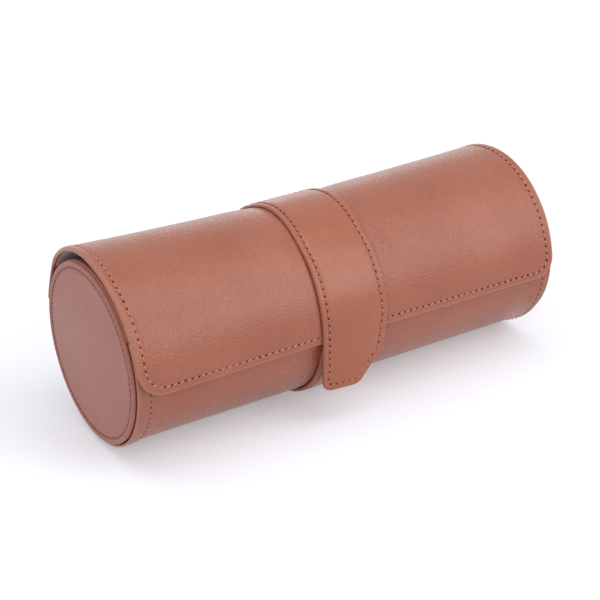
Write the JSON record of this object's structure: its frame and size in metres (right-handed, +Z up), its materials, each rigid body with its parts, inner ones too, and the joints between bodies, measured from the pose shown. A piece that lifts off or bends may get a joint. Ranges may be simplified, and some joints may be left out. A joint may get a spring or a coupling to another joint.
{
  "type": "watch travel case",
  "caption": "Round leather travel case for watches: a tub with flat ends and suede bays, a curved hinged flap and a strap whose tongue closes over its front edge.",
  "frame": {"origin": "middle of the small flat under the strap on which the closed case rests", "axes": "+X along the roll towards the right end, -Y the front where the flap closes, +Y the hinge side, +Z up"},
  "size_m": [0.2028, 0.0824, 0.0815],
  "materials": {
    "tan_leather": "smooth tan leather with fine grain and a soft sheen",
    "disc_leather": "smooth tan leather, slightly cooler",
    "strap_backing": "tan leather, edge-finished",
    "suede": "grey-beige suede",
    "board": "pressed fibre board",
    "foam": "open-cell foam",
    "steel": "brushed, nickel plated",
    "thread": "waxed linen thread in the leather's tan, in dark needle holes",
    "magnet": "nickel-plated magnet"
  },
  "bodies": {
    "case": {"tub_leather": "tan_leather", "end_binding_left": "tan_leather", "end_binding_right": "tan_leather", "hinge_strip": "tan_leather", "lower_strap_leather": "tan_leather", "end_leather_left": "disc_leather", "end_leather_right": "disc_leather", "lower_strap_backing": "strap_backing", "tub_lining": "suede", "end_lining_left": "suede", "end_lining_right": "suede", "divider_cover_left": "suede", "divider_cover_right": "suede", "pillow_cover_left": "suede", "pillow_cover_middle": "suede", "pillow_cover_right": "suede", "tub_board": "board", "end_board_left": "board", "end_board_right": "board", "divider_core_left": "board", "divider_core_right": "board", "pillow_foam_left": "foam", "pillow_foam_middle": "foam", "pillow_foam_right": "foam", "keeper": "steel"},
    "flap": {"flap_leather": "tan_leather", "flap_board": "board", "flap_lining": "suede", "strap_leather": "tan_leather", "strap_backing": "strap_backing"},
    "tongue": {"tongue_leather": "tan_leather", "tongue_backing": "strap_backing", "tongue_magnet": "magnet"}
  },
  "joints": [
    {"name": "flap_hinge", "type": "hinge", "parent": "case", "child": "flap", "pos_m": [0, 0.03649, 0.05698], "axis": [-1, 0, 0], "range_deg": [0, 130]},
    {"name": "tongue_fold", "type": "hinge", "parent": "flap", "child": "tongue", "pos_m": [0, -0.04265, 0.03918], "axis": [-1, 0, 0], "range_deg": [0, 100]}
  ]
}
